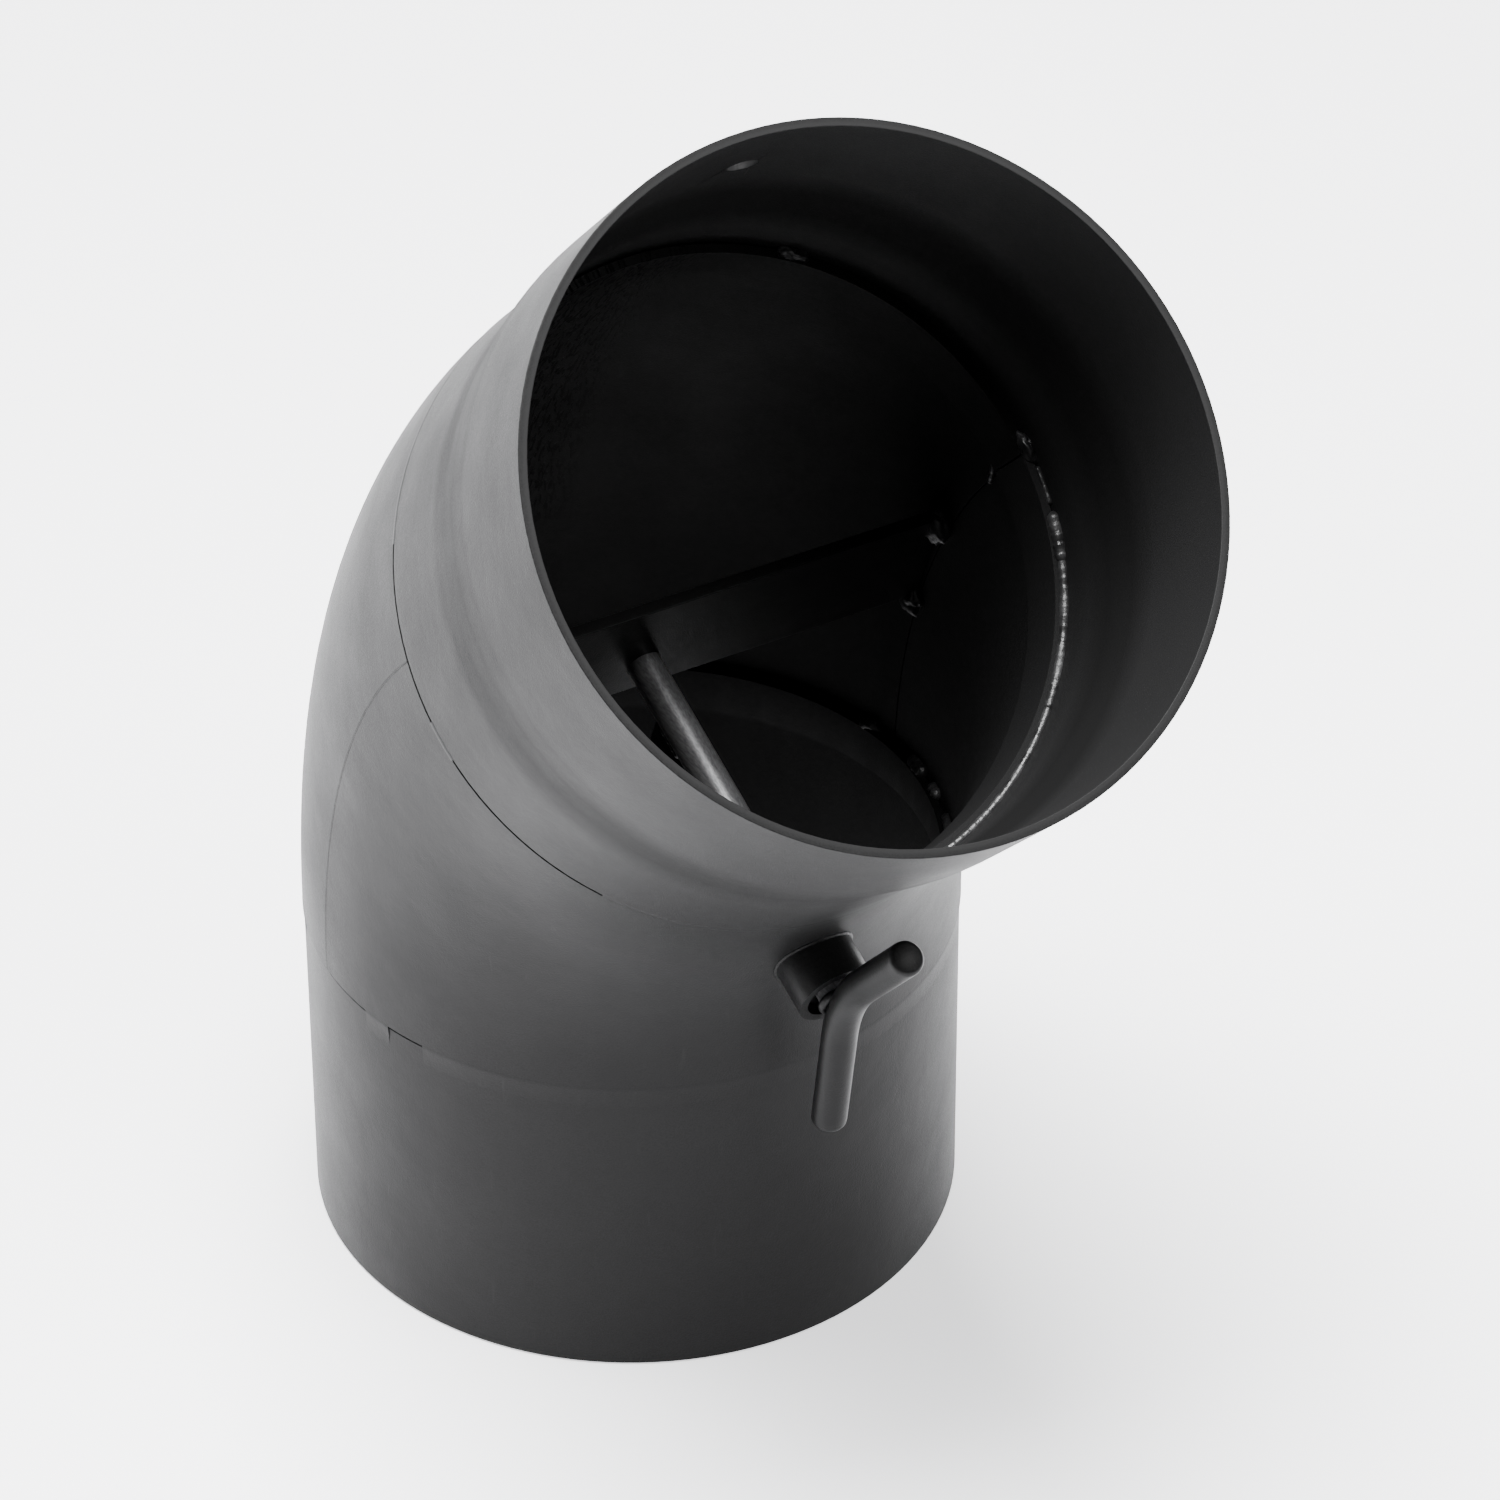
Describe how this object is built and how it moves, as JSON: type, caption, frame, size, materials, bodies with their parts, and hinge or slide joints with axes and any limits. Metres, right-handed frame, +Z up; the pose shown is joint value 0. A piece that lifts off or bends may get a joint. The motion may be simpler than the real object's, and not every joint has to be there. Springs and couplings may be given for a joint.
{
  "type": "flue elbow with damper",
  "caption": "Black steel stove-pipe elbow that turns a flue through 45 degrees, with a socket mouth and a hand-turned damper across the duct.",
  "frame": {"origin": "centre of the lower pipe's bottom edge", "axes": "+Z up the lower pipe's axis; the duct bends towards +X, so the socket faces +X and +Z; X-Z is the plane of symmetry and +Y is the left side"},
  "size_m": [0.24, 0.1556, 0.3089],
  "materials": {
    "duct_paint": "satin black stove paint with a fine grain",
    "weld_paint": "painted over, ground nearly flush",
    "weld_metal": "painted weld with glossy ripples",
    "inner_steel": "matte black",
    "handle_steel": "satin black",
    "spindle_steel": "drawn round bar, thinly painted",
    "zinc_steel": "plain zinc-plated"
  },
  "bodies": {
    "elbow": {"lower_pipe": "duct_paint", "heel_shell": "duct_paint", "throat_shell": "duct_paint", "collar": "duct_paint", "seam_weld_left": "weld_paint", "seam_weld_right": "weld_paint", "lower_joint_bead": "weld_metal", "lower_joint_tacks": "weld_metal", "upper_joint_bead": "weld_metal", "upper_joint_tacks": "weld_metal", "bearing_bar": "inner_steel", "bar_weld_left": "weld_metal", "bar_weld_right": "weld_metal", "spindle_bush": "handle_steel", "bush_weld": "weld_metal", "friction_spring": "zinc_steel"},
    "damper": {"spindle": "spindle_steel", "blade": "inner_steel", "blade_welds": "weld_metal", "bar_washer": "zinc_steel", "split_pin": "zinc_steel", "spring_washer": "zinc_steel", "handle": "handle_steel", "handle_weld": "weld_metal"}
  },
  "joints": [
    {"name": "damper_turn", "type": "hinge", "parent": "elbow", "child": "damper", "pos_m": [0.01352, 0, 0.14347], "axis": [0.9239, 0, -0.3827], "range_deg": [-90, 90]}
  ]
}
